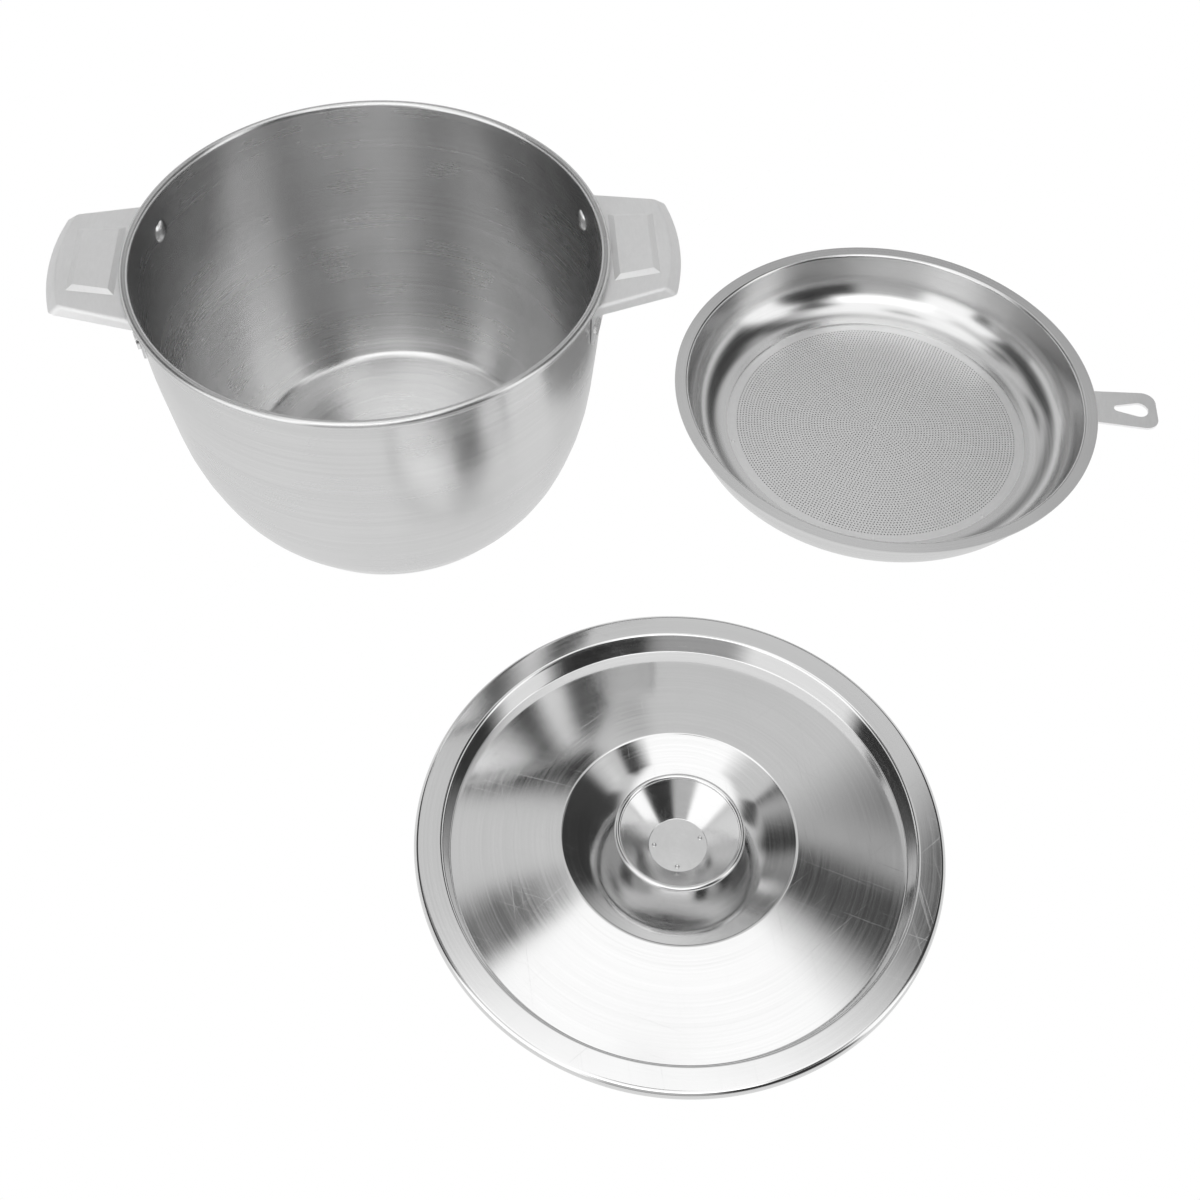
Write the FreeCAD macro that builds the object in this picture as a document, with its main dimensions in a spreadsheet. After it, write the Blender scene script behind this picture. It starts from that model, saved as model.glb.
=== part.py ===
import FreeCAD
import Part
import Sketcher
import math
import os

# Straining pot set: two-handled pot, strainer pan with a fine filter disc, and a knobbed lid.
# Millimetres. The three pieces stand side by side on the table, pot axis on the origin,
# handles along X.

doc = FreeCAD.newDocument("straining_pot")
sheet = doc.addObject("Spreadsheet::Sheet", "sizes")

# name, value, meaning
drivers = [
    # pot
    ("pot_gauge", 0.7, "wall thickness of the pot"),
    ("pot_base_radius", 72.5, "corner of the flat base"),
    ("pot_base_bend", 6.0, "bend between base and wall"),
    ("pot_low_radius", 85.0, "first corner of the bulged wall"),
    ("pot_low_height", 16.6, "height of that corner"),
    ("low_blend", 13.0, "length of the rounding to each side of it"),
    ("pot_mid_radius", 95.6, "second corner of the wall"),
    ("pot_mid_height", 48.1, "height of that corner"),
    ("mid_blend", 16.1, "length of the rounding to each side of it"),
    ("pot_wall_radius", 100.7, "outside of the straight upper wall"),
    ("wall_corner_drop", 34.2, "third corner of the wall, below the rim"),
    ("wall_blend", 11.5, "length of the rounding, short enough to leave the rivets on straight wall"),
    ("pot_height", 135.2, "top of the rolled rim"),
    ("bead_radius", 2.0, "rolled rim of the pot"),
    ("bead_bite", 0.05, "how far the rolled rim stands proud of the wall inside"),
    # handles
    ("handle_gauge", 1.0, "sheet of the handles"),
    ("handle_gap", 0.25, "play between handle flange and wall"),
    ("rim_play", 0.3, "play between handle plate and rolled rim"),
    ("handle_tilt", 5.0, "rise of the plate outwards, degrees"),
    ("handle_half_root", 37.5, "half width at the pot"),
    ("handle_half_tip", 29.0, "half width at the outer corners"),
    ("handle_reach", 130.2, "middle of the bowed outer edge of the plate"),
    ("tip_bow", 4.2, "how far the outer edge bows out"),
    ("handle_skirt", 3.6, "height of the turned-down edge"),
    ("tip_spread", 4.0, "how far the outer edge leans out"),
    ("side_spread", 1.4, "how far each side edge leans out"),
    ("corner_round", 4.0, "rounding of the outer corners in plan"),
    ("plate_round", 2.0, "rounding between plate and turned-down edge"),
    ("flange_drop", 21.0, "height of the riveted flange"),
    ("flange_sink", 0.7, "top of the flange below the top of the plate"),
    ("emboss_gap", 2.6, "foot of the pressed panel from the flange"),
    ("emboss_margin", 6.0, "foot of the pressed panel from the outer edge"),
    ("emboss_half_in", 21.5, "half width of its foot at the inner end"),
    ("emboss_half_out", 19.5, "half width of its foot at the outer end"),
    ("emboss_slope", 2.6, "width of its sloped border"),
    ("emboss_height", 1.1, "rise of the pressed panel"),
    # rivets
    ("rivet_shank", 2.2, "shank radius"),
    ("rivet_play", 0.05, "play of the shank in its holes"),
    ("rivet_head", 5.0, "radius of the domed head inside the pot"),
    ("rivet_dome", 1.6, "height of the domed head"),
    ("rivet_flat", 1.0, "radius of the flat on the dome"),
    ("rivet_round", 6.0, "rounding of the dome"),
    ("rivet_tail", 3.8, "radius of the closed end outside"),
    ("rivet_tail_height", 1.2, "height of the closed end"),
    ("rivet_turn", 20.0, "angle of each rivet from the handle axis"),
    ("rivet_drop", 17.0, "rivet axis below the rim"),
    # strainer pan
    ("strainer_x", 244.5, "strainer axis"),
    ("strainer_y", 9.0, "strainer axis"),
    ("pan_gauge", 0.7, "sheet of the pan"),
    ("pan_opening", 76.0, "opening over the filter"),
    ("pan_corner", 95.8, "foot of the wall"),
    ("pan_corner_bend", 19.5, "rounding at the foot of the wall"),
    ("pan_mouth", 98.6, "outside of the wall under the rim"),
    ("pan_mouth_bend", 0.9, "bend from wall to rim"),
    ("pan_rim_radius", 104.5, "edge of the rim"),
    ("pan_height", 29.5, "top of the rim"),
    # filter disc
    ("filter_gauge", 0.6, "sheet of the filter"),
    ("filter_radius", 79.5, "edge of the filter under the pan"),
    ("filter_rings", 9, "rings of holes"),
    ("filter_pitch", 7.4, "distance between rings of holes"),
    ("filter_hole", 1.5, "radius of a hole"),
    # hanging tab
    ("tab_gauge", 1.2, "sheet of the tab"),
    ("tab_turn", -9.5, "direction of the tab in degrees"),
    ("tab_root", 99.9, "inner end under the rim"),
    ("tab_tip", 134.0, "outer end"),
    ("tab_half_root", 10.2, "half width at the rim"),
    ("tab_half_tip", 12.3, "half width near the end"),
    ("tab_round", 6.5, "rounding of the outer corners"),
    ("slot_in", 115.0, "centre of the narrow end of the slot"),
    ("slot_out", 125.2, "centre of the wide end of the slot"),
    ("slot_narrow", 2.0, "radius of the narrow end"),
    ("slot_wide", 4.6, "radius of the wide end"),
    # lid
    ("lid_x", 120.0, "lid axis"),
    ("lid_y", -221.5, "lid axis"),
    ("lid_gauge", 0.6, "sheet of the lid"),
    ("dish_radius", 26.0, "corner of the sunk middle"),
    ("dish_bend", 60.0, "rounding of the sunk middle"),
    ("crease_radius", 48.5, "ridge round the sunk middle"),
    ("crease_height", 9.9, "underside of the ridge"),
    ("crease_bend", 2.0, "rounding of the ridge"),
    ("groove_radius", 94.6, "foot of the locating step"),
    ("groove_height", 5.0, "underside of the groove"),
    ("groove_bend", 1.2, "rounding in the groove"),
    ("step_radius", 97.2, "top of the locating step"),
    ("step_bend", 1.0, "rounding at the top of the step"),
    ("lid_flange_height", 14.4, "underside of the lid flange"),
    ("lid_edge_radius", 107.7, "inside of the turned-down edge"),
    ("lid_edge_bend", 1.8, "rounding of the edge"),
    ("lid_edge_drop", 3.0, "height of the turned-down edge"),
    # knob
    ("knob_gauge", 0.6, "sheet of the knob"),
    ("knob_foot", 12.4, "flat foot welded to the lid"),
    ("knob_foot_bend", 1.0, "rounding of the foot"),
    ("knob_radius", 26.8, "outside of the rolled edge"),
    ("knob_height", 14.0, "height of the knob over the lid"),
    ("knob_bead", 1.25, "rolled edge of the knob"),
]
# name, formula: sizes that follow from the ones above
derived = [
    ("zero", "=0"),
    ("bead_height", "=pot_height - bead_radius"),
    ("pot_wall_height", "=pot_height - wall_corner_drop"),
    ("low_out", "=pot_low_radius - pot_base_radius"),
    ("low_up", "=pot_low_height"),
    ("low_run", "=sqrt(low_out ^ 2 + low_up ^ 2)"),
    ("mid_out", "=pot_mid_radius - pot_low_radius"),
    ("mid_up", "=pot_mid_height - pot_low_height"),
    ("mid_run", "=sqrt(mid_out ^ 2 + mid_up ^ 2)"),
    ("wall_out", "=pot_wall_radius - pot_mid_radius"),
    ("wall_up", "=pot_wall_height - pot_mid_height"),
    ("wall_run", "=sqrt(wall_out ^ 2 + wall_up ^ 2)"),
    ("low_turn", "=abs(low_out * mid_up - low_up * mid_out)"),
    ("low_ease", "=low_run * mid_run + low_out * mid_out + low_up * mid_up"),
    ("pot_low_bend", "=low_blend * low_ease / low_turn"),
    ("mid_turn", "=abs(mid_out * wall_up - mid_up * wall_out)"),
    ("mid_ease", "=mid_run * wall_run + mid_out * wall_out + mid_up * wall_up"),
    ("pot_mid_bend", "=mid_blend * mid_ease / mid_turn"),
    ("pot_wall_bend", "=wall_blend * (wall_run + wall_up) / wall_out"),
    ("bead_centre", "=pot_wall_radius - pot_gauge + bead_radius - bead_bite"),
    ("plate_top", "=pot_height - 2 * bead_radius - rim_play"),
    ("flange_in", "=pot_wall_radius + handle_gap"),
    ("flange_out", "=flange_in + handle_gauge"),
    ("flange_low", "=plate_top - flange_drop"),
    ("rivet_height", "=pot_height - rivet_drop"),
    ("rivet_hole", "=rivet_shank + rivet_play"),
    ("mouth_radius", "=pot_wall_radius - pot_gauge"),
    ("rivet_seat", "=sqrt(mouth_radius ^ 2 - rivet_head ^ 2) - rivet_play"),
    ("rivet_crown", "=rivet_seat - rivet_dome"),
    ("rivet_back", "=flange_out + rivet_play"),
    ("rivet_end", "=rivet_back + rivet_tail_height"),
    ("pan_low", "=filter_gauge"),
    ("pan_rim_low", "=pan_height - pan_gauge"),
    ("tab_low", "=pan_rim_low - tab_gauge"),
    ("lid_edge_low", "=lid_flange_height - lid_edge_drop"),
    ("knob_low", "=lid_gauge"),
    ("knob_bead_height", "=knob_low + knob_height - knob_bead"),
    ("knob_bead_centre", "=knob_radius - knob_bead"),
    ("knob_throat", "=knob_bead_centre - knob_gauge / 2"),
    ("root_radius", "=flange_in + handle_gauge / 2"),
    ("root_corner", "=sqrt(root_radius ^ 2 - handle_half_root ^ 2)"),
    ("handle_corner", "=handle_reach - tip_bow"),
    ("handle_bow", "=(handle_half_tip ^ 2 + tip_bow ^ 2) / (2 * tip_bow)"),
    ("skirt_low", "=plate_top - handle_skirt"),
    ("skirt_half_root", "=handle_half_root + side_spread"),
    ("skirt_root", "=sqrt(root_radius ^ 2 - skirt_half_root ^ 2)"),
    ("skirt_half_tip", "=handle_half_tip + side_spread"),
    ("skirt_corner", "=handle_corner + tip_spread"),
    ("skirt_bow", "=(skirt_half_tip ^ 2 + tip_bow ^ 2) / (2 * tip_bow)"),
    ("flange_half", "=handle_half_root * flange_in / root_radius"),
    ("flange_in_x", "=sqrt(flange_in ^ 2 - flange_half ^ 2)"),
    ("flange_out_half", "=handle_half_root * flange_out / root_radius"),
    ("flange_out_x", "=sqrt(flange_out ^ 2 - flange_out_half ^ 2)"),
    ("corner_inside", "=corner_round - handle_gauge"),
    ("plate_inside", "=plate_round - handle_gauge"),
    ("flange_wall", "=flange_drop - flange_sink"),
    ("emboss_in", "=flange_out + emboss_gap"),
    ("emboss_out", "=handle_reach - emboss_margin"),
    ("crown_in", "=emboss_in + emboss_slope"),
    ("crown_out", "=emboss_out - emboss_slope"),
    ("crown_half_in", "=emboss_half_in - emboss_slope"),
    ("crown_half_out", "=emboss_half_out - emboss_slope"),
    ("crown_top", "=plate_top + emboss_height"),
    ("hollow_low", "=plate_top - handle_gauge"),
    ("hollow_top", "=crown_top - handle_gauge"),
]

row = 1
for name, value, meaning in drivers:
    sheet.set("A%d" % row, meaning)
    sheet.set("B%d" % row, str(value))
    sheet.setAlias("B%d" % row, name)
    row += 1
doc.recompute()
for name, formula in derived:
    sheet.set("B%d" % row, formula)
    sheet.setAlias("B%d" % row, name)
    doc.recompute()
    row += 1


def size(name):
    return float(sheet.get(name))


def origin_plane(body, role):
    for item in body.Origin.OriginFeatures:
        if item.Role == role:
            return item


def place_point(rules, geo, pos, x_name, y_name):
    # ties a point of a sketch to two sizes, measured from the sketch origin
    for kind, axis, name in (("DistanceX", -2, x_name), ("DistanceY", -1, y_name)):
        if abs(size(name)) < 1e-9:
            rules.append((Sketcher.Constraint("PointOnObject", geo, pos, axis), None))
        else:
            spot = Sketcher.Constraint(kind, -1, 1, geo, pos, size(name))
            rules.append((spot, name))


def drawn_arc(sketch, first, middle, last):
    # arc through three points, always drawn against the clock;
    # gives its number and which of its ends meet the first and the last point
    circle = Part.Circle(first, middle, last)
    centre = circle.Center
    angles = [math.atan2(v.y - centre.y, v.x - centre.x) for v in (first, middle, last)]
    full = 2 * math.pi
    forward = (angles[1] - angles[0]) % full < (angles[2] - angles[0]) % full
    low, high = (angles[0], angles[2]) if forward else (angles[2], angles[0])
    high = low + (high - low) % full
    base = Part.Circle(centre, FreeCAD.Vector(0, 0, 1), circle.Radius)
    number = sketch.addGeometry(Part.ArcOfCircle(base, low, high), False)
    return (number, 1, 2) if forward else (number, 2, 1)


def apply_rules(sketch, rules):
    # all at once, so that the drawn shape is kept; then the sizes take over
    first = sketch.ConstraintCount
    sketch.addConstraint([rule for rule, name in rules])
    for i, (rule, name) in enumerate(rules):
        if name:
            sketch.setExpression("Constraints[%d]" % (first + i), "sizes.%s" % name)
    doc.recompute()


def formed_path(sketch, corners):
    # one open line of straight runs with a rounded bend at each inner corner
    spots = [FreeCAD.Vector(size(c[0]), size(c[1]), 0) for c in corners]
    arcs = []
    for i in range(1, len(spots) - 1):
        bend = size(corners[i][2])
        back = (spots[i - 1] - spots[i]).normalize()
        ahead = (spots[i + 1] - spots[i]).normalize()
        half = back.getAngle(ahead) / 2
        run = bend / math.tan(half)
        centre = spots[i] + (back + ahead).normalize() * (bend / math.sin(half))
        middle = centre + (spots[i] - centre).normalize() * bend
        arcs.append((spots[i] + back * run, middle, spots[i] + ahead * run))
    starts = [spots[0]] + [arc[2] for arc in arcs]
    ends = [arc[0] for arc in arcs] + [spots[-1]]
    lines = []
    for start, end in zip(starts, ends):
        lines.append(sketch.addGeometry(Part.LineSegment(start, end), False))
    rules = []
    for i, (first, middle, last) in enumerate(arcs):
        arc, near, far = drawn_arc(sketch, first, middle, last)
        rules.append((Sketcher.Constraint("Tangent", lines[i], 2, arc, near), None))
        rules.append((Sketcher.Constraint("Tangent", lines[i + 1], 1, arc, far), None))
        bend = corners[i + 1][2]
        rules.append((Sketcher.Constraint("Radius", arc, size(bend)), bend))
    place_point(rules, lines[0], 1, corners[0][0], corners[0][1])
    place_point(rules, lines[-1], 2, corners[-1][0], corners[-1][1])
    for i in range(1, len(spots) - 1):
        mark = sketch.addGeometry(Part.Point(spots[i]), True)
        place_point(rules, mark, 1, corners[i][0], corners[i][1])
        rules.append((Sketcher.Constraint("PointOnObject", mark, 1, lines[i - 1]), None))
        rules.append((Sketcher.Constraint("PointOnObject", mark, 1, lines[i]), None))
    apply_rules(sketch, rules)


def formed_sheet(name, corners, gauge, inward):
    # spun sheet: a bent line given its thickness, then turned round the upright axis
    sketch = doc.addObject("Sketcher::SketchObject", name + "_line")
    turn = FreeCAD.Rotation(FreeCAD.Vector(1, 0, 0), 90)
    sketch.Placement = FreeCAD.Placement(FreeCAD.Vector(), turn)
    formed_path(sketch, corners)
    band = doc.addObject("Part::Offset2D", name + "_band")
    band.Source = sketch
    band.Mode = "Skin"
    band.Join = "Arc"
    band.Fill = True
    band.setExpression("Value", ("" if inward else "-") + "sizes.%s" % gauge)
    spun = doc.addObject("Part::Revolution", name + "_spun")
    spun.Source = band
    spun.Axis = FreeCAD.Vector(0, 0, 1)
    spun.Base = FreeCAD.Vector(0, 0, 0)
    spun.Angle = 360
    spun.Solid = True
    doc.recompute()
    return spun


def ring(name, centre, height, radius):
    # rolled edge
    torus = doc.addObject("Part::Torus", name)
    torus.setExpression("Radius1", "sizes.%s" % centre)
    torus.setExpression("Radius2", "sizes.%s" % radius)
    torus.setExpression("Placement.Base.z", "sizes.%s" % height)
    return torus


def joined(name, pieces):
    fuse = doc.addObject("Part::MultiFuse", name)
    fuse.Shapes = pieces
    fuse.Refine = True
    doc.recompute()
    return fuse


def cut(name, base, tool):
    made = doc.addObject("Part::Cut", name)
    made.Base = base
    made.Tool = tool
    doc.recompute()
    return made


def new_sketch(body, name, role, height_name=None):
    sketch = body.newObject("Sketcher::SketchObject", name)
    sketch.AttachmentSupport = [(origin_plane(body, role), "")]
    sketch.MapMode = "FlatFace"
    if height_name:
        sketch.setExpression("AttachmentOffset.Base.z", "sizes.%s" % height_name)
    doc.recompute()
    return sketch


def stand(thing, x_name, y_name):
    # moves a finished piece from the pot axis to its place on the table
    thing.setExpression("Placement.Base.x", "sizes.%s" % x_name)
    thing.setExpression("Placement.Base.y", "sizes.%s" % y_name)
    doc.recompute()


# pot
pot_spun = formed_sheet(
    "pot",
    [
        ("zero", "zero"),
        ("pot_base_radius", "zero", "pot_base_bend"),
        ("pot_low_radius", "pot_low_height", "pot_low_bend"),
        ("pot_mid_radius", "pot_mid_height", "pot_mid_bend"),
        ("pot_wall_radius", "pot_wall_height", "pot_wall_bend"),
        ("pot_wall_radius", "bead_height"),
    ],
    "pot_gauge",
    True,
)
pot_bead = ring("pot_bead", "bead_centre", "bead_height", "bead_radius")
pot_blank = joined("pot_blank", [pot_spun, pot_bead])

# rivet holes: two on each side, pointing at the pot axis
turns = [
    ("right_front", -size("rivet_turn")),
    ("right_rear", size("rivet_turn")),
    ("left_rear", 180 - size("rivet_turn")),
    ("left_front", 180 + size("rivet_turn")),
]
drills = []
for name, turn in turns:
    drill = doc.addObject("Part::Cylinder", name + "_drill")
    drill.setExpression("Radius", "sizes.rivet_hole")
    drill.setExpression("Height", "sizes.handle_reach")
    lift = FreeCAD.Vector(0, 0, size("rivet_height"))
    drill.Placement = FreeCAD.Placement(lift, FreeCAD.Rotation(turn, 90, 0))
    drills.append(drill)
doc.recompute()
drill_set = joined("drill_set", drills)
pot_shell = cut("pot_shell", pot_blank, drill_set)

# rivets: domed head inside the pot, closed end outside the handle flange
rivets = []
for name, turn in turns:
    rivet = doc.addObject("PartDesign::Body", name + "_rivet")
    sketch = new_sketch(rivet, name + "_rivet_line", "XY_Plane")
    corners = [
        ("rivet_seat", "rivet_head"),
        ("rivet_seat", "rivet_shank"),
        ("rivet_back", "rivet_shank"),
        ("rivet_back", "rivet_tail"),
        ("rivet_end", "rivet_tail"),
        ("rivet_end", "zero"),
        ("rivet_crown", "zero"),
        ("rivet_crown", "rivet_flat"),
    ]
    spots = [FreeCAD.Vector(size(c[0]), size(c[1]), 0) for c in corners]
    rules = []
    lines = []
    for start, end in zip(spots[:-1], spots[1:]):
        lines.append(sketch.addGeometry(Part.LineSegment(start, end), False))
    chord = spots[0] - spots[-1]
    sag = size("rivet_round") - math.sqrt(size("rivet_round") ** 2 - chord.Length ** 2 / 4)
    bulge = FreeCAD.Vector(-chord.y, chord.x, 0).normalize() * sag
    middle = (spots[0] + spots[-1]) / 2 + bulge
    dome, near, far = drawn_arc(sketch, spots[-1], middle, spots[0])
    for k in range(len(lines) - 1):
        rules.append((Sketcher.Constraint("Coincident", lines[k], 2, lines[k + 1], 1), None))
    rules.append((Sketcher.Constraint("Coincident", lines[-1], 2, dome, near), None))
    rules.append((Sketcher.Constraint("Coincident", lines[0], 1, dome, far), None))
    rules.append((Sketcher.Constraint("Radius", dome, size("rivet_round")), "rivet_round"))
    for k, line in enumerate(lines):
        place_point(rules, line, 1, corners[k][0], corners[k][1])
    place_point(rules, lines[-1], 2, corners[-1][0], corners[-1][1])
    apply_rules(sketch, rules)
    spin = rivet.newObject("PartDesign::Revolution", name + "_rivet_spin")
    spin.Profile = sketch
    spin.ReferenceAxis = (sketch, ["H_Axis"])
    spin.Angle = 360
    lift = FreeCAD.Vector(0, 0, size("rivet_height"))
    rivet.Placement = FreeCAD.Placement(lift, FreeCAD.Rotation(turn, 0, 0))
    doc.recompute()
    rivets.append(rivet)


def mirrored_outline(sketch, upper, bows):
    # closed outline, the same above and below the X axis; upper lists named points
    # from the pot outwards, bows gives the radius of the inner and outer end, or None
    above = [FreeCAD.Vector(size(c[0]), size(c[1]), 0) for c in upper]
    below = [FreeCAD.Vector(v.x, -v.y, 0) for v in above]
    rules = []
    top = []
    low = []
    for k in range(len(above) - 1):
        top.append(sketch.addGeometry(Part.LineSegment(above[k], above[k + 1]), False))
        low.append(sketch.addGeometry(Part.LineSegment(below[k], below[k + 1]), False))
    for k, line in enumerate(top):
        place_point(rules, line, 1, upper[k][0], upper[k][1])
        rules.append((Sketcher.Constraint("Symmetric", line, 1, low[k], 1, -1), None))
        if k:
            rules.append((Sketcher.Constraint("Coincident", top[k - 1], 2, line, 1), None))
            rules.append((Sketcher.Constraint("Coincident", low[k - 1], 2, low[k], 1), None))
    place_point(rules, top[-1], 2, upper[-1][0], upper[-1][1])
    rules.append((Sketcher.Constraint("Symmetric", top[-1], 2, low[-1], 2, -1), None))
    for end, bow in zip((0, -1), bows):
        pos = 1 if end == 0 else 2
        first, last = above[end], below[end]
        if bow is None:
            close = sketch.addGeometry(Part.LineSegment(first, last), False)
            near, far = 1, 2
        else:
            sag = size(bow) - math.sqrt(size(bow) ** 2 - first.y ** 2)
            middle = FreeCAD.Vector(first.x + sag, 0, 0)
            close, near, far = drawn_arc(sketch, first, middle, last)
            rules.append((Sketcher.Constraint("Radius", close, size(bow)), bow))
        rules.append((Sketcher.Constraint("Coincident", top[end], pos, close, near), None))
        rules.append((Sketcher.Constraint("Coincident", low[end], pos, close, far), None))
    apply_rules(sketch, rules)


def padded(body, name, sketch, length):
    pad = body.newObject("PartDesign::Pad", name)
    pad.Profile = sketch
    pad.setExpression("Length", "sizes.%s" % length)
    doc.recompute()
    return pad


def lofted(body, kind, name, first, last):
    # straight-sided solid, added or taken away, between two outlines
    loft = body.newObject("PartDesign::" + kind, name)
    loft.Profile = first
    loft.Sections = [last]
    loft.Ruled = True
    doc.recompute()
    return loft


def rounded(body, name, base, edges, radius):
    fillet = body.newObject("PartDesign::Fillet", name)
    fillet.Base = (base, edges)
    fillet.setExpression("Radius", "sizes.%s" % radius)
    doc.recompute()
    return fillet


def edges_where(shape, test):
    return ["Edge%d" % (k + 1) for k, edge in enumerate(shape.Edges) if test(edge)]


def faces_where(shape, test):
    return ["Face%d" % (k + 1) for k, face in enumerate(shape.Faces) if test(face)]


# handles: pressed plate with turned-down edges, and a flange riveted to the wall
wall_clear = doc.addObject("Part::Cylinder", "wall_clear")
wall_clear.setExpression("Radius", "sizes.flange_in")
wall_clear.setExpression("Height", "sizes.pot_height")
handles = []
for side, turn in (("right", 0), ("left", 180)):
    tray = doc.addObject("PartDesign::Body", side + "_tray")
    plan = new_sketch(tray, side + "_tray_plan", "XY_Plane", "plate_top")
    upper = [("root_corner", "handle_half_root"), ("handle_corner", "handle_half_tip")]
    mirrored_outline(plan, upper, ("root_radius", "handle_bow"))
    hem = new_sketch(tray, side + "_tray_hem", "XY_Plane", "skirt_low")
    wider = [("skirt_root", "skirt_half_root"), ("skirt_corner", "skirt_half_tip")]
    mirrored_outline(hem, wider, ("root_radius", "skirt_bow"))
    block = lofted(tray, "AdditiveLoft", side + "_tray_block", plan, hem)
    open_faces = faces_where(
        block.Shape,
        lambda face: face.BoundBox.ZMax < size("skirt_low") + size("rim_play")
        or face.CenterOfMass.x < size("root_radius"),
    )
    shell = tray.newObject("PartDesign::Thickness", side + "_tray_shell")
    shell.Base = (block, open_faces)
    shell.setExpression("Value", "sizes.handle_gauge")
    shell.Reversed = True
    shell.Mode = "Skin"
    shell.Join = "Intersection"
    doc.recompute()
    softened = shell
    for skin, level, corner, brow in (
        ("outer", "plate_top", "corner_round", "plate_round"),
        ("inner", "hollow_low", "corner_inside", "plate_inside"),
    ):
        height = size(level)
        play = size("handle_gauge") / 20
        leaning = edges_where(
            softened.Shape,
            lambda edge: edge.BoundBox.ZLength > size("handle_skirt") / 2
            and abs(edge.BoundBox.ZMax - height) < play
            and edge.BoundBox.XMin > size("handle_corner") - 2 * size("handle_gauge"),
        )
        name = "%s_tray_%s_corners" % (side, skin)
        softened = rounded(tray, name, softened, leaning, corner)
        along = edges_where(
            softened.Shape,
            lambda edge: abs(edge.BoundBox.ZMin - height) < play
            and abs(edge.BoundBox.ZMax - height) < play
            and edge.BoundBox.XMax > size("flange_out"),
        )
        name = "%s_tray_%s_brow" % (side, skin)
        softened = rounded(tray, name, softened, along, brow)
    foot_line = [("emboss_in", "emboss_half_in"), ("emboss_out", "emboss_half_out")]
    crown_line = [("crown_in", "crown_half_in"), ("crown_out", "crown_half_out")]
    outlines = []
    for part_name, height, line in (
        ("panel_foot", "plate_top", foot_line),
        ("panel_crown", "crown_top", crown_line),
        ("hollow_foot", "hollow_low", foot_line),
        ("hollow_crown", "hollow_top", crown_line),
    ):
        outline = new_sketch(tray, "%s_%s" % (side, part_name), "XY_Plane", height)
        mirrored_outline(outline, line, (None, None))
        outlines.append(outline)
    lofted(tray, "AdditiveLoft", side + "_panel_rise", outlines[0], outlines[1])
    lofted(tray, "SubtractiveLoft", side + "_panel_hollow", outlines[2], outlines[3])
    hinge = FreeCAD.Vector(size("root_radius"), 0, size("plate_top"))
    lean = FreeCAD.Rotation(FreeCAD.Vector(0, 1, 0), -size("handle_tilt"))
    tray.Placement = FreeCAD.Placement(FreeCAD.Vector(), lean, hinge)
    doc.recompute()
    flange = doc.addObject("PartDesign::Body", side + "_flange")
    strip = new_sketch(flange, side + "_flange_plan", "XY_Plane", "flange_low")
    ends = [("flange_in_x", "flange_half"), ("flange_out_x", "flange_out_half")]
    mirrored_outline(strip, ends, ("flange_in", "flange_out"))
    padded(flange, side + "_flange_wall", strip, "flange_wall")
    whole = joined(side + "_handle_blank", [tray, flange])
    clear = cut(side + "_handle_clear", whole, wall_clear)
    spun_drills = joined(side + "_handle_drills", drills[:2])
    handle = cut(side + "_handle", clear, spun_drills)
    handle.Placement = FreeCAD.Placement(FreeCAD.Vector(), FreeCAD.Rotation(turn, 0, 0))
    doc.recompute()
    handles.append(handle)

# strainer pan
strainer_pan = formed_sheet(
    "pan",
    [
        ("pan_opening", "pan_low"),
        ("pan_corner", "pan_low", "pan_corner_bend"),
        ("pan_mouth", "pan_rim_low", "pan_mouth_bend"),
        ("pan_rim_radius", "pan_rim_low"),
    ],
    "pan_gauge",
    True,
)
stand(strainer_pan, "strainer_x", "strainer_y")

# filter disc: rings of round holes, six more in each ring than in the one inside it
filter_disc = doc.addObject("PartDesign::Body", "filter_disc")
plate = new_sketch(filter_disc, "filter_plan", "XY_Plane")
rim = Part.Circle(FreeCAD.Vector(), FreeCAD.Vector(0, 0, 1), size("filter_radius"))
edge = plate.addGeometry(rim, False)
apply_rules(
    plate,
    [
        (Sketcher.Constraint("Coincident", edge, 3, -1, 1), None),
        (Sketcher.Constraint("Radius", edge, size("filter_radius")), "filter_radius"),
    ],
)
padded(filter_disc, "filter_blank", plate, "filter_gauge")
for k in range(int(size("filter_rings")) + 1):
    spot = new_sketch(filter_disc, "filter_hole_%d_plan" % k, "XY_Plane")
    centre = FreeCAD.Vector(k * size("filter_pitch"), 0, 0)
    circle = Part.Circle(centre, FreeCAD.Vector(0, 0, 1), size("filter_hole"))
    hole = spot.addGeometry(circle, False)
    rules = [(Sketcher.Constraint("Radius", hole, size("filter_hole")), "filter_hole")]
    if k:
        rules.append((Sketcher.Constraint("PointOnObject", hole, 3, -1), None))
        where = Sketcher.Constraint("DistanceX", -1, 1, hole, 3, k * size("filter_pitch"))
        rules.append((where, "filter_pitch * %d" % k))
    else:
        rules.append((Sketcher.Constraint("Coincident", hole, 3, -1, 1), None))
    apply_rules(spot, rules)
    punch = filter_disc.newObject("PartDesign::Pocket", "filter_hole_%d" % k)
    punch.Profile = spot
    punch.Reversed = True
    punch.setExpression("Length", "sizes.filter_gauge")
    doc.recompute()
    if k:
        around = filter_disc.newObject("PartDesign::PolarPattern", "filter_ring_%d" % k)
        around.Originals = [punch]
        around.Axis = (plate, ["N_Axis"])
        around.Angle = 360
        around.Occurrences = 6 * k
        filter_disc.Tip = around
        doc.recompute()
stand(filter_disc, "strainer_x", "strainer_y")

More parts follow.
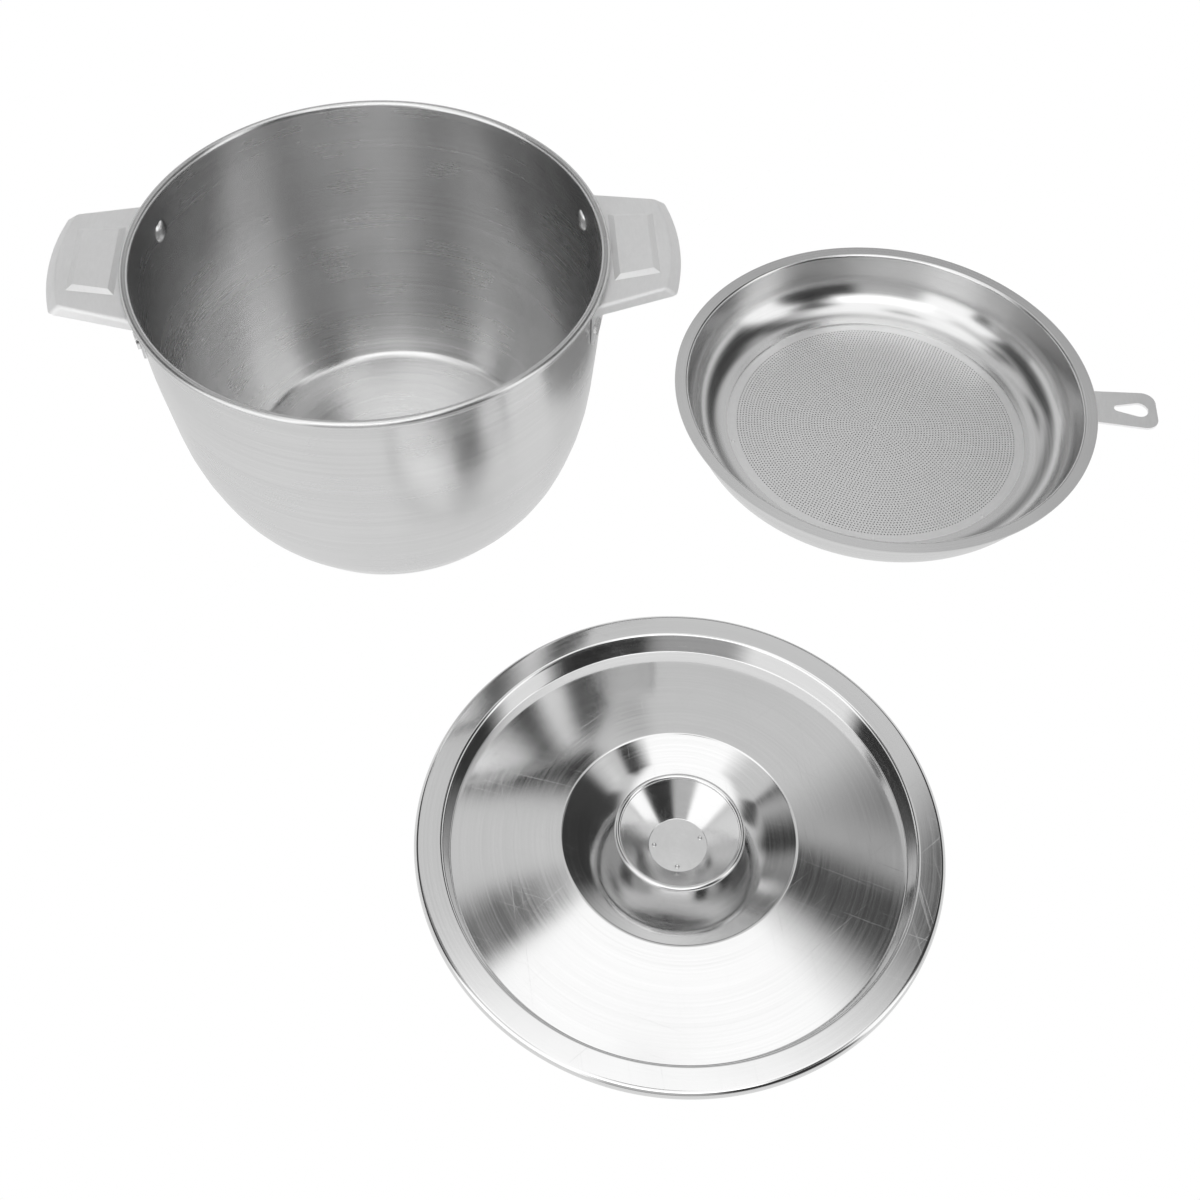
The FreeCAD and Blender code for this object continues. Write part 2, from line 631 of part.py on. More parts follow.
# hanging tab under the rim of the strainer
strainer_tab = doc.addObject("PartDesign::Body", "strainer_tab")
plan = new_sketch(strainer_tab, "tab_plan", "XY_Plane", "tab_low")
mirrored_outline(plan, [("tab_root", "tab_half_root"), ("tab_tip", "tab_half_tip")], (None, None))
blank = padded(strainer_tab, "tab_blank", plan, "tab_gauge")
tips = edges_where(
    blank.Shape,
    lambda edge: edge.BoundBox.XMin > size("tab_tip") - size("tab_gauge")
    and edge.BoundBox.ZLength > size("tab_gauge") / 2,
)
rounded(strainer_tab, "tab_ends", blank, tips, "tab_round")
eye = new_sketch(strainer_tab, "tab_eye_plan", "XY_Plane", "tab_low")
lean = math.asin((size("slot_wide") - size("slot_narrow")) / (size("slot_out") - size("slot_in")))
rules = []
arcs = []
for centre, radius, low_turn, high_turn in (
    ("slot_in", "slot_narrow", math.pi / 2 + lean, 3 * math.pi / 2 - lean),
    ("slot_out", "slot_wide", -math.pi / 2 - lean, math.pi / 2 + lean),
):
    middle = FreeCAD.Vector(size(centre), 0, 0)
    circle = Part.Circle(middle, FreeCAD.Vector(0, 0, 1), size(radius))
    arc = eye.addGeometry(Part.ArcOfCircle(circle, low_turn, high_turn), False)
    rules.append((Sketcher.Constraint("PointOnObject", arc, 3, -1), None))
    rules.append((Sketcher.Constraint("DistanceX", -1, 1, arc, 3, size(centre)), centre))
    rules.append((Sketcher.Constraint("Radius", arc, size(radius)), radius))
    arcs.append(arc)
for narrow_pos, wide_pos in ((1, 2), (2, 1)):
    first = eye.getPoint(arcs[0], narrow_pos)
    last = eye.getPoint(arcs[1], wide_pos)
    line = eye.addGeometry(Part.LineSegment(first, last), False)
    rules.append((Sketcher.Constraint("Tangent", arcs[0], narrow_pos, line, 1), None))
    rules.append((Sketcher.Constraint("Tangent", arcs[1], wide_pos, line, 2), None))
apply_rules(eye, rules)
slot = strainer_tab.newObject("PartDesign::Pocket", "tab_eye")
slot.Profile = eye
slot.Reversed = True
slot.setExpression("Length", "sizes.tab_gauge")
doc.recompute()
place = FreeCAD.Vector(size("strainer_x"), size("strainer_y"), 0)
swing = FreeCAD.Rotation(size("tab_turn"), 0, 0)
strainer_tab.Placement = FreeCAD.Placement(place, swing)

# lid
lid_panel = formed_sheet(
    "lid",
    [
        ("zero", "zero"),
        ("dish_radius", "zero", "dish_bend"),
        ("crease_radius", "crease_height", "crease_bend"),
        ("groove_radius", "groove_height", "groove_bend"),
        ("step_radius", "lid_flange_height", "step_bend"),
        ("lid_edge_radius", "lid_flange_height", "lid_edge_bend"),
        ("lid_edge_radius", "lid_edge_low"),
    ],
    "lid_gauge",
    True,
)
stand(lid_panel, "lid_x", "lid_y")

# knob: flared cup welded to the sunk middle of the lid
knob_cup = formed_sheet(
    "knob",
    [
        ("zero", "knob_low"),
        ("knob_foot", "knob_low", "knob_foot_bend"),
        ("knob_throat", "knob_bead_height"),
    ],
    "knob_gauge",
    True,
)
knob_edge = ring("knob_edge", "knob_bead_centre", "knob_bead_height", "knob_bead")
lid_knob = joined("lid_knob", [knob_cup, knob_edge])
stand(lid_knob, "lid_x", "lid_y")

pieces = {
    "pot_shell": pot_shell,
    "right_handle": handles[0],
    "left_handle": handles[1],
    "right_front_rivet": rivets[0],
    "right_rear_rivet": rivets[1],
    "left_rear_rivet": rivets[2],
    "left_front_rivet": rivets[3],
    "strainer_pan": strainer_pan,
    "filter_disc": filter_disc,
    "strainer_tab": strainer_tab,
    "lid_panel": lid_panel,
    "lid_knob": lid_knob,
}
doc.recompute()
for item in doc.Objects:
    if "Invalid" in item.State or "Error" in item.State:
        raise RuntimeError("%s did not build" % item.Name)
os.makedirs("parts", exist_ok=True)
for name, piece in pieces.items():
    piece.Label = name
    shape = piece.Shape
    if shape.isNull() or not shape.isValid() or len(shape.Solids) != 1:
        raise RuntimeError("%s is not one sound solid" % name)
    shape.exportStep("parts/%s.step" % name)
    print(name, round(shape.Volume, 1), len(shape.Faces))
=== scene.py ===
import bpy
import math
from mathutils import Matrix, Vector


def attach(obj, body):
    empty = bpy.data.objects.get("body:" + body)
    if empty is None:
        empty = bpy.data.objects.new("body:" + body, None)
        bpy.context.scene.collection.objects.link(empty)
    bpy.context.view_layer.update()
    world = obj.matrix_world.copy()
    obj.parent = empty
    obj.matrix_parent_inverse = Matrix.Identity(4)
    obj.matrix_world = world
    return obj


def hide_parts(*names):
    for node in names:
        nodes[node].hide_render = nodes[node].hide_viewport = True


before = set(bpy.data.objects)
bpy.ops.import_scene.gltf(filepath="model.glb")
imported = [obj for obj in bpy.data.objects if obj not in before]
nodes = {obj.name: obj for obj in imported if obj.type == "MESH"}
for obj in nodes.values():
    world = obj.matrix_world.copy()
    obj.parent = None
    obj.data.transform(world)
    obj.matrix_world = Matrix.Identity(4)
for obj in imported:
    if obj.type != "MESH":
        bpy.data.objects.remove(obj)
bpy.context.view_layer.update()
print("frame loaded with", len(nodes), "pieces")

# upright axes of the three turned pieces, metres
potAxis = (0.0, 0.0, 0.0)
strainerAxis = (0.2445, 0.009, 0.0)
lidAxis = (0.120, -0.2215, 0.0)
ownAxis = (0.0, 0.0, 0.0)  # for a piece whose origin is on its own axis


# camera
cameraView = {
    "place": (0.0573, -0.4972, 0.5538),
    "aimTurn": 5.5,  # degrees to the right of +Y
    "aimDown": 53.75,  # degrees below the horizon
    "roll": 2.05,
    "lens": 44.13,
    "sensor": 36.0,
    "nearest": 0.01,
    "farthest": 50.0,
}


def buildCamera(view):
    turn = math.radians(view["aimTurn"])
    down = math.radians(view["aimDown"])
    roll = math.radians(view["roll"])
    level = Vector((math.cos(turn), -math.sin(turn), 0.0))
    ahead = Vector((math.sin(turn) * math.cos(down), math.cos(turn) * math.cos(down), -math.sin(down)))
    lift = level.cross(ahead)
    right = math.cos(roll) * level + math.sin(roll) * lift
    upward = math.cos(roll) * lift - math.sin(roll) * level
    data = bpy.data.cameras.new("studioCamera")
    data.sensor_width = view["sensor"]
    data.lens = view["lens"]
    data.clip_start = view["nearest"]
    data.clip_end = view["farthest"]
    camera = bpy.data.objects.new("studioCamera", data)
    turned = Matrix((right, upward, -ahead)).transposed().to_4x4()
    camera.matrix_world = Matrix.Translation(view["place"]) @ turned
    bpy.context.scene.collection.objects.link(camera)
    bpy.context.scene.camera = camera


buildCamera(cameraView)
print("camera placed")


# node helpers
def addNode(tree, kind, **settings):
    node = tree.nodes.new(kind)
    for key, value in settings.items():
        setattr(node, key, value)
    return node


def feed(tree, node, socket, value):
    target = node.inputs[socket]
    if isinstance(value, bpy.types.NodeSocket):
        tree.links.new(value, target)
    elif value is not None:
        target.default_value = value


def mathNode(tree, operation, first, second=None, third=None, clamp=False):
    node = addNode(tree, "ShaderNodeMath", operation=operation, use_clamp=clamp)
    feed(tree, node, 0, first)
    feed(tree, node, 1, second)
    feed(tree, node, 2, third)
    return node.outputs[0]


def mixNode(tree, share, first, second):
    node = addNode(tree, "ShaderNodeMix")
    feed(tree, node, 0, share)
    feed(tree, node, 2, first)
    feed(tree, node, 3, second)
    return node.outputs[0]


def rangeNode(tree, value, low, high, newLow, newHigh, smooth=False):
    node = addNode(tree, "ShaderNodeMapRange")
    if smooth:
        node.interpolation_type = "SMOOTHSTEP"
    for socket, item in enumerate((value, low, high, newLow, newHigh)):
        feed(tree, node, socket, item)
    return node.outputs[0]


# studio: white sweep, soft boxes and the darker gaps between them, all seen in the metal
studio = {
    "gain": 0.96,  # brightness of the whole studio
    "base": 0.78,  # where no panel lies
    # azimuth from +Y, elevation, half width, half height, softness, brightness; degrees
    "panels": [
        (0.0, 0.0, 360.0, 40.0, 5.0, 0.26),  # low surround
        (-68.0, 36.0, 30.0, 15.0, 6.0, 0.06),  # dark left side
        (66.0, 37.0, 29.0, 16.0, 6.0, 0.05),  # dark right side
        (0.0, 0.0, 100.0, 22.0, 5.0, 0.95),  # horizon on the far side
        (190.0, 30.0, 18.0, 24.0, 6.0, 0.6),  # behind the camera
        (149.0, 28.0, 19.0, 20.0, 4.0, 0.04),  # gap beside the right soft box
        (-125.0, 26.0, 27.0, 30.0, 6.0, 1.5),  # left soft box
        (113.0, 26.0, 12.0, 30.0, 4.0, 1.45),  # right soft box
        (180.0, 66.0, 60.0, 14.0, 6.0, 1.45),  # high panel behind the camera
        (125.0, 59.0, 13.0, 9.0, 3.0, 0.05),  # gap over the right soft box
        (184.0, 53.0, 34.0, 9.0, 4.0, 2.2),  # strip that lights the inside of the pot
        (0.0, 90.0, 360.0, 22.0, 3.0, 1.42),  # overhead
        (0.0, 90.0, 360.0, 4.5, 2.0, 0.1),  # hole in it, straight up
        (48.0, 60.5, 17.0, 4.0, 2.0, 0.08),  # gaps below its edge, right
        (76.0, 53.0, 13.0, 9.0, 4.0, 0.06),
        (-62.0, 60.0, 13.0, 5.0, 3.0, 0.1),  # gaps below its edge, left
        (-33.0, 67.3, 9.0, 3.0, 1.5, 0.2),
        (-14.0, 51.0, 9.0, 4.0, 1.5, 0.05),  # small gaps on the far side
        (2.0, 45.0, 3.0, 2.5, 1.5, 0.5),
        (-2.0, 57.2, 3.0, 1.2, 0.8, 0.15),
    ],
    "floorSeen": 1.0,  # as the camera sees it
    # painted light: as the metal sees it, the floor glows brighter near the pieces and fades to
    # floorFar further out
    "floorMirrored": 0.9,  # close to the pieces, as the metal sees it
    "floorFar": 0.5,
    "floorFade": (0.3, 0.75),  # from near to far, metres from the middle
    "floorMiddle": (0.12, -0.1, 0.0),
    # painted contact shade: the floor's glow is darkened by ambient occlusion under and right beside
    # the pieces
    "contact": 0.0012,  # reach of the shade under a piece that lies on the floor
    "contactSamples": 8,
    "shade": 0.04,  # darkest it gets
    "floorReach": 6.0,
    "floorDrop": 0.0002,
}


def buildWorld(values):
    world = bpy.data.worlds.new("studioWorld")
    bpy.context.scene.world = world
    world.use_nodes = True
    tree = world.node_tree
    tree.nodes.clear()
    direction = addNode(tree, "ShaderNodeTexCoord").outputs["Generated"]
    split = addNode(tree, "ShaderNodeSeparateXYZ")
    feed(tree, split, 0, direction)
    azimuth = mathNode(tree, "ARCTAN2", split.outputs[0], split.outputs[1])
    elevation = mathNode(tree, "ARCSINE", split.outputs[2])
    light = values["base"]
    for panel in values["panels"]:
        turn, rise, halfWide, halfTall, soft = [math.radians(angle) for angle in panel[:5]]
        across = mathNode(tree, "SUBTRACT", azimuth, turn)
        across = mathNode(tree, "ABSOLUTE", mathNode(tree, "WRAP", across, math.pi, -math.pi))
        along = mathNode(tree, "ABSOLUTE", mathNode(tree, "SUBTRACT", elevation, rise))
        inAcross = rangeNode(tree, across, halfWide - soft, halfWide + soft, 1.0, 0.0, True)
        inAlong = rangeNode(tree, along, halfTall - soft, halfTall + soft, 1.0, 0.0, True)
        light = mixNode(tree, mathNode(tree, "MULTIPLY", inAcross, inAlong), light, panel[5])
    light = mathNode(tree, "MULTIPLY", light, values["gain"])
    path = addNode(tree, "ShaderNodeLightPath")
    light = mixNode(tree, path.outputs["Is Camera Ray"], light, values["floorSeen"])
    glow = addNode(tree, "ShaderNodeBackground")
    feed(tree, glow, "Color", (1.0, 1.0, 1.0, 1.0))
    feed(tree, glow, "Strength", light)
    result = addNode(tree, "ShaderNodeOutputWorld")
    feed(tree, result, "Surface", glow.outputs[0])


def buildFloor(values):
    reach = values["floorReach"]
    mesh = bpy.data.meshes.new("studioFloor")
    sides = ((-reach, -reach), (reach, -reach), (reach, reach), (-reach, reach))
    mesh.from_pydata([(x, y, 0.0) for x, y in sides], [], [(0, 1, 2, 3)])
    floor = bpy.data.objects.new("studioFloor", mesh)
    floor.location.z = -values["floorDrop"]
    bpy.context.scene.collection.objects.link(floor)
    paint = bpy.data.materials.new("whiteSweep")
    paint.use_nodes = True
    tree = paint.node_tree
    tree.nodes.clear()
    # painted contact shade: ambient occlusion darkens the floor's glow where a piece lies close over
    # it, down to the shade value
    shade = addNode(tree, "ShaderNodeAmbientOcclusion", samples=values["contactSamples"])
    feed(tree, shade, "Distance", values["contact"])
    path = addNode(tree, "ShaderNodeLightPath")
    away = addNode(tree, "ShaderNodeVectorMath", operation="DISTANCE")
    feed(tree, away, 0, addNode(tree, "ShaderNodeTexCoord").outputs["Object"])
    feed(tree, away, 1, values["floorMiddle"])
    near, far = values["floorFade"]
    # painted pool of light: the floor glows brighter near the middle and dimmer far off, as the metal
    # sees it
    mirrored = rangeNode(
        tree, away.outputs["Value"], near, far, values["floorMirrored"], values["floorFar"], True
    )
    tone = mixNode(tree, path.outputs["Is Camera Ray"], mirrored, values["floorSeen"])
    glow = addNode(tree, "ShaderNodeEmission")
    clear = rangeNode(tree, shade.outputs["AO"], 0.0, 1.0, values["shade"], 1.0)
    feed(tree, glow, "Strength", mathNode(tree, "MULTIPLY", tone, clear))
    result = addNode(tree, "ShaderNodeOutputMaterial")
    feed(tree, result, "Surface", glow.outputs[0])
    mesh.materials.append(paint)


buildWorld(studio)
buildFloor(studio)
bpy.context.scene.view_settings.view_transform = "Standard"
print("studio lit")


# shared effects
def newGroup(name, inputs, outputs):
    tree = bpy.data.node_groups.new(name, "ShaderNodeTree")
    for label, kind, value in inputs:
        socket = tree.interface.new_socket(name=label, in_out="INPUT", socket_type=kind)
        socket.default_value = value
    for label, kind in outputs:
        tree.interface.new_socket(name=label, in_out="OUTPUT", socket_type=kind)
    return tree, addNode(tree, "NodeGroupInput"), addNode(tree, "NodeGroupOutput")


grainLook = {
    "lines": 2500.0,  # per metre, across the lines
    "run": 5.0,  # the lower, the longer the lines
    "patch": 40.0,  # cloudy patches per metre
    "lineDetail": 2.0,
    "patchDetail": 3.0,
    "coarseLines": 0.16,  # coarse lines for each fine one
    "coarseShare": 0.25,
}


def buildTurnedGrain(values):
    # fine lines that run round an upright axis, as spun and brushed sheet has
    tree, given, result = newGroup(
        "turnedGrain",
        [
            ("Axis", "NodeSocketVector", (0.0, 0.0, 0.0)),
            ("Lines", "NodeSocketFloat", values["lines"]),
            ("Run", "NodeSocketFloat", values["run"]),
            ("Patch", "NodeSocketFloat", values["patch"]),
        ],
        [("Grain", "NodeSocketFloat"), ("Tone", "NodeSocketFloat")],
    )
    place = addNode(tree, "ShaderNodeTexCoord").outputs["Object"]
    shifted = addNode(tree, "ShaderNodeVectorMath", operation="SUBTRACT")
    feed(tree, shifted, 0, place)
    feed(tree, shifted, 1, given.outputs["Axis"])
    split = addNode(tree, "ShaderNodeSeparateXYZ")
    feed(tree, split, 0, shifted.outputs[0])
    flat = addNode(tree, "ShaderNodeCombineXYZ")
    feed(tree, flat, 0, split.outputs[0])
    feed(tree, flat, 1, split.outputs[1])
    length = addNode(tree, "ShaderNodeVectorMath", operation="LENGTH")
    feed(tree, length, 0, flat.outputs[0])
    radius = length.outputs["Value"]
    unit = addNode(tree, "ShaderNodeVectorMath", operation="NORMALIZE")
    feed(tree, unit, 0, flat.outputs[0])
    unitParts = addNode(tree, "ShaderNodeSeparateXYZ")
    feed(tree, unitParts, 0, unit.outputs[0])

    def layer(lines):
        run = given.outputs["Run"]
        spot = addNode(tree, "ShaderNodeCombineXYZ")
        feed(tree, spot, 0, mathNode(tree, "MULTIPLY", unitParts.outputs[0], run))
        feed(tree, spot, 1, mathNode(tree, "MULTIPLY", unitParts.outputs[1], run))
        feed(tree, spot, 2, mathNode(tree, "MULTIPLY", radius, lines))
        noise = addNode(tree, "ShaderNodeTexNoise", noise_dimensions="4D")
        feed(tree, noise, "Vector", spot.outputs[0])
        feed(tree, noise, "W", mathNode(tree, "MULTIPLY", split.outputs[2], lines))
        feed(tree, noise, "Scale", 1.0)
        feed(tree, noise, "Detail", values["lineDetail"])
        return noise.outputs["Fac"]

    fine = layer(given.outputs["Lines"])
    coarse = layer(mathNode(tree, "MULTIPLY", given.outputs["Lines"], values["coarseLines"]))
    feed(tree, result, "Grain", mixNode(tree, values["coarseShare"], fine, coarse))
    patch = addNode(tree, "ShaderNodeTexNoise")
    feed(tree, patch, "Vector", shifted.outputs[0])
    feed(tree, patch, "Scale", given.outputs["Patch"])
    feed(tree, patch, "Detail", values["patchDetail"])
    feed(tree, result, "Tone", patch.outputs["Fac"])
    return tree


scratchLook = {
    "spacing": 160.0,
    "begins": 0.68,  # noise at which a scratch begins
    "full": 0.82,  # and is at its deepest
    "detail": 1.0,
    "stretch": (0.12, 9.0, 1.0),
    "ways": ((0.4, 0.0), (1.5, 3.1), (2.5, 7.7)),  # turn in radians, slide
}


def buildHairScratches(values):
    # sparse straight hairlines in three directions
    tree, given, result = newGroup(
        "hairScratches",
        [
            ("Spacing", "NodeSocketFloat", values["spacing"]),
            ("Begins", "NodeSocketFloat", values["begins"]),
        ],
        [("Scratch", "NodeSocketFloat")],
    )
    place = addNode(tree, "ShaderNodeTexCoord").outputs["Object"]
    total = None
    for turn, slide in values["ways"]:
        turned = addNode(tree, "ShaderNodeMapping")
        feed(tree, turned, "Vector", place)
        turned.inputs["Rotation"].default_value = (0.0, 0.0, turn)
        turned.inputs["Location"].default_value = (slide, slide, 0.0)
        stretched = addNode(tree, "ShaderNodeVectorMath", operation="MULTIPLY")
        feed(tree, stretched, 0, turned.outputs[0])
        stretched.inputs[1].default_value = values["stretch"]
        noise = addNode(tree, "ShaderNodeTexNoise")
        feed(tree, noise, "Vector", stretched.outputs[0])
        feed(tree, noise, "Scale", given.outputs["Spacing"])
        feed(tree, noise, "Detail", values["detail"])
        line = rangeNode(tree, noise.outputs["Fac"], given.outputs["Begins"], values["full"], 0.0, 1.0)
        total = line if total is None else mathNode(tree, "MAXIMUM", total, line)
    feed(tree, result, "Scratch", total)
    return tree


turnedGrain = buildTurnedGrain(grainLook)
hairScratches = buildHairScratches(scratchLook)


# steels
steelLook = {
    "noiseLow": 0.3,  # span of the noise that is used
    "noiseHigh": 0.7,
    "streakTurn": 0.25,  # a quarter turn lays the streaks across the lines
    "bumpHeight": 0.00002,
}


def makeSteel(name, values):
    noiseLow, noiseHigh = steelLook["noiseLow"], steelLook["noiseHigh"]
    steel = bpy.data.materials.new(name)
    steel.use_nodes = True
    tree = steel.node_tree
    tree.nodes.clear()
    shader = addNode(tree, "ShaderNodeBsdfPrincipled")
    shader.inputs["Metallic"].default_value = 1.0
    shader.inputs["Anisotropic"].default_value = values["streak"]
    shader.inputs["Anisotropic Rotation"].default_value = steelLook["streakTurn"]
    result = addNode(tree, "ShaderNodeOutputMaterial")
    feed(tree, result, "Surface", shader.outputs[0])
    grain = addNode(tree, "ShaderNodeGroup")
    grain.node_tree = turnedGrain
    grain.inputs["Axis"].default_value = values["axis"]
    grain.inputs["Lines"].default_value = values["lines"]
    grain.inputs["Run"].default_value = values["run"]
    scratch = addNode(tree, "ShaderNodeGroup")
    scratch.node_tree = hairScratches
    low, high = values["roughness"]
    rough = rangeNode(tree, grain.outputs["Grain"], noiseLow, noiseHigh, low, high)
    patchy = values["patchy"]
    patch = rangeNode(tree, grain.outputs["Tone"], noiseLow, noiseHigh, -patchy, patchy)
    rough = mathNode(tree, "ADD", rough, patch)
    marks = scratch.outputs["Scratch"]
    rough = mathNode(tree, "MULTIPLY_ADD", marks, values["scratched"], rough, True)
    feed(tree, shader, "Roughness", rough)
    dark, bright = values["tone"]
    tone = rangeNode(tree, grain.outputs["Grain"], noiseLow, noiseHigh, dark, bright)
    colour = addNode(tree, "ShaderNodeCombineColor")
    for channel in range(3):
        feed(tree, colour, channel, tone)
    feed(tree, shader, "Base Color", colour.outputs[0])
    height = mathNode(tree, "MULTIPLY_ADD", marks, -values["scratched"], grain.outputs["Grain"])
    bump = addNode(tree, "ShaderNodeBump")
    bump.inputs["Strength"].default_value = values["relief"]
    bump.inputs["Distance"].default_value = steelLook["bumpHeight"]
    feed(tree, bump, "Height", height)
    feed(tree, shader, "Normal", bump.outputs[0])
    if values["streak"] > 0.0:
        tangent = addNode(tree, "ShaderNodeTangent", direction_type="RADIAL", axis="Z")
        feed(tree, shader, "Tangent", tangent.outputs[0])
    return steel


potFinish = {
    "axis": potAxis, "lines": 800.0, "run": 0.7, "roughness": (0.24, 0.28), "patchy": 0.015,
    "tone": (0.65, 0.72), "relief": 0.02, "streak": 0.88, "scratched": 0.0,
}
handleFinish = {
    "axis": potAxis, "lines": 900.0, "run": 30.0, "roughness": (0.6, 0.66), "patchy": 0.04,
    "tone": (0.85, 0.89), "relief": 0.1, "streak": 0.0, "scratched": 0.08,
}
rivetFinish = {
    "axis": potAxis, "lines": 900.0, "run": 30.0, "roughness": (0.22, 0.28), "patchy": 0.03,
    "tone": (0.78, 0.84), "relief": 0.1, "streak": 0.0, "scratched": 0.05,
}
panFinish = {
    "axis": ownAxis, "lines": 1000.0, "run": 0.7, "roughness": (0.17, 0.21), "patchy": 0.01,
    "tone": (0.64, 0.70), "relief": 0.02, "streak": 0.8, "scratched": 0.0,
}
tabFinish = {
    "axis": strainerAxis, "lines": 900.0, "run": 20.0, "roughness": (0.34, 0.42), "patchy": 0.03,
    "tone": (0.90, 0.95), "relief": 0.1, "streak": 0.0, "scratched": 0.08,
}
filterFinish = {
    "axis": ownAxis, "lines": 1200.0, "run": 20.0, "roughness": (0.38, 0.46), "patchy": 0.04,
    "tone": (0.86, 0.91), "relief": 0.1, "streak": 0.0, "scratched": 0.08,
}
lidFinish = {
    "axis": ownAxis, "lines": 1200.0, "run": 0.7, "roughness": (0.07, 0.13), "patchy": 0.02,
    "tone": (0.68, 0.74), "relief": 0.04, "streak": 0.35, "scratched": 0.1,
}
knobFinish = {
    "axis": ownAxis, "lines": 2200.0, "run": 5.0, "roughness": (0.13, 0.18), "patchy": 0.01,
    "tone": (0.69, 0.73), "relief": 0.03, "streak": 0.3, "scratched": 0.06,
}
steels = {
    "pot": makeSteel("potSteel", potFinish),
    "handle": makeSteel("handleSteel", handleFinish),
    "rivet": makeSteel("rivetSteel", rivetFinish),
    "pan": makeSteel("panSteel", panFinish),
    "tab": makeSteel("tabSteel", tabFinish),
    "filter": makeSteel("filterSteel", filterFinish),
    "lid": makeSteel("lidSteel", lidFinish),
    "knob": makeSteel("knobSteel", knobFinish),
}
dressed = {
    "left_handle": "handle",
    "right_handle": "handle",
    "left_front_rivet": "rivet",
    "left_rear_rivet": "rivet",
    "right_front_rivet": "rivet",
    "right_rear_rivet": "rivet",
    "strainer_tab": "tab",
}
for piece, steelName in dressed.items():
    nodes[piece].data.materials.clear()
    nodes[piece].data.materials.append(steels[steelName])
print("steels made:", ", ".join(steels))


# spun sheet: a bent line with its thickness, turned round an upright axis
spinning = {
    "around": 288,
    "bendStep": math.radians(5.0),
    "fewestSteps": 3,  # in any bend
    "longest": 0.008,  # straight step
    "beadSides": 24,
}


def bentLine(corners):
    # points along the line, each with the direction to its left
    spots = [Vector(corner[:2]) for corner in corners]
    marks = []
    start = spots[0]
    for k in range(1, len(spots)):
        way = (spots[k] - spots[k - 1]).normalized()
        left = Vector((-way.y, way.x))
        end = spots[k]
        bent = len(corners[k]) > 2
        if bent:
            onward = (spots[k + 1] - spots[k]).normalized()
            turn = math.atan2(way.x * onward.y - way.y * onward.x, way.dot(onward))
            bend = corners[k][2]
            cutBack = bend * math.tan(abs(turn) / 2.0)
            end = spots[k] - way * cutBack
        pieces = max(1, math.ceil((end - start).length / spinning["longest"]))
        for n in range(pieces + 1):
            spot = start.lerp(end, n / pieces)
            marks.append((spot.x, spot.y, left.x, left.y))
        if bent:
            side = math.copysign(bend, turn)
            centre = end + left * side
            steps = max(spinning["fewestSteps"], math.ceil(abs(turn) / spinning["bendStep"]))
            for n in range(1, steps):
                leaning = left.copy()
                leaning.rotate(Matrix.Rotation(turn * n / steps, 2))
                spot = centre - leaning * side
                marks.append((spot.x, spot.y, leaning.x, leaning.y))
            start = spots[k] + onward * cutBack
    return marks


def sheetRuns(shape):
    gauge = shape["gauge"]
    line = bentLine(shape["line"])
    upper = [(r + lr * gauge, h + lh * gauge, lr, lh) for r, h, lr, lh in line]
    under = [(r, h, -lr, -lh) for r, h, lr, lh in reversed(line)]
    endR, endH = upper[-1][3], -upper[-1][2]
    runs = [upper, under, [(*upper[-1][:2], endR, endH), (*under[0][:2], endR, endH)]]
    if under[-1][0] > 0.0:
        startR, startH = -upper[0][3], upper[0][2]
        runs.append([(*under[-1][:2], startR, startH), (*upper[0][:2], startR, startH)])
    if "bead" in shape:
        centre, height, thick = shape["bead"]
        ring = []
        for n in range(spinning["beadSides"] + 1):
            turn = -2.0 * math.pi * n / spinning["beadSides"]
            outR, outH = math.cos(turn), math.sin(turn)
            ring.append((centre + thick * outR, height + thick * outH, outR, outH))
        runs.append(ring)
    return runs


def spinSheet(name, shape, axis, steel):
    around = shape.get("around", spinning["around"])
    turns = [2.0 * math.pi * n / around for n in range(around)]
    vertices = []
    normals = []
    faces = []
    for run in sheetRuns(shape):
        last = None
        for radius, height, outR, outH in run:
            first = len(vertices)
            hub = radius <= 0.0
            for turn in turns[:1] if hub else turns:
                vertices.append((radius * math.cos(turn), radius * math.sin(turn), height))
                normals.append((outR * math.cos(turn), outR * math.sin(turn), outH))
            ring = [first] * around if hub else list(range(first, first + around))
            if last:
                for n in range(around):
                    after = (n + 1) % around
                    corners = (last[n], ring[n], ring[after], last[after])
                    faces.append(tuple(dict.fromkeys(corners)))
            last = ring
    mesh = bpy.data.meshes.new(name)
    mesh.from_pydata(vertices, [], faces)
    mesh.polygons.foreach_set("use_smooth", [True] * len(mesh.polygons))
    mesh.normals_split_custom_set_from_vertices(normals)
    mesh.materials.append(steel)
    spun = bpy.data.objects.new(name, mesh)
    spun.location = axis
    bpy.context.scene.collection.objects.link(spun)
    return spun


def settle(piece, body, node=None):
    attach(piece, body)
    if node:
        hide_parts(node)


# corners are radius, height and bend of the outer or under side; a bead is radius, height, thickness
potShape = {
    "gauge": 0.0007,
    "line": [
        (0.0, 0.0),
        (0.0725, 0.0, 0.006),
        (0.085, 0.0166, 0.0803),
        (0.0956, 0.0481, 0.1403),
        (0.1007, 0.101, 0.2391),
        (0.1007, 0.1332),
    ],
    "bead": (0.10195, 0.1332, 0.002),
}
panShape = {
    "gauge": 0.0007,
    "line": [
        (0.076, 0.0006),
        (0.0958, 0.0006, 0.0195),
        (0.0986, 0.0288, 0.0009),
        (0.1045, 0.0288),
    ],
}
lidShape = {
    "gauge": 0.0006,
    "line": [
        (0.0, 0.0),
        (0.026, 0.0, 0.06),
        (0.0485, 0.0099, 0.002),
        (0.0946, 0.005, 0.0012),
        (0.0972, 0.0144, 0.001),
        (0.1077, 0.0144, 0.0018),
        (0.1077, 0.0114),
    ],
}
knobShape = {
    "gauge": 0.0006,
    "line": [
        (0.0, 0.0006),
        (0.0124, 0.0006, 0.001),
        (0.02525, 0.01335),
    ],
    "bead": (0.02555, 0.01335, 0.00125),
}
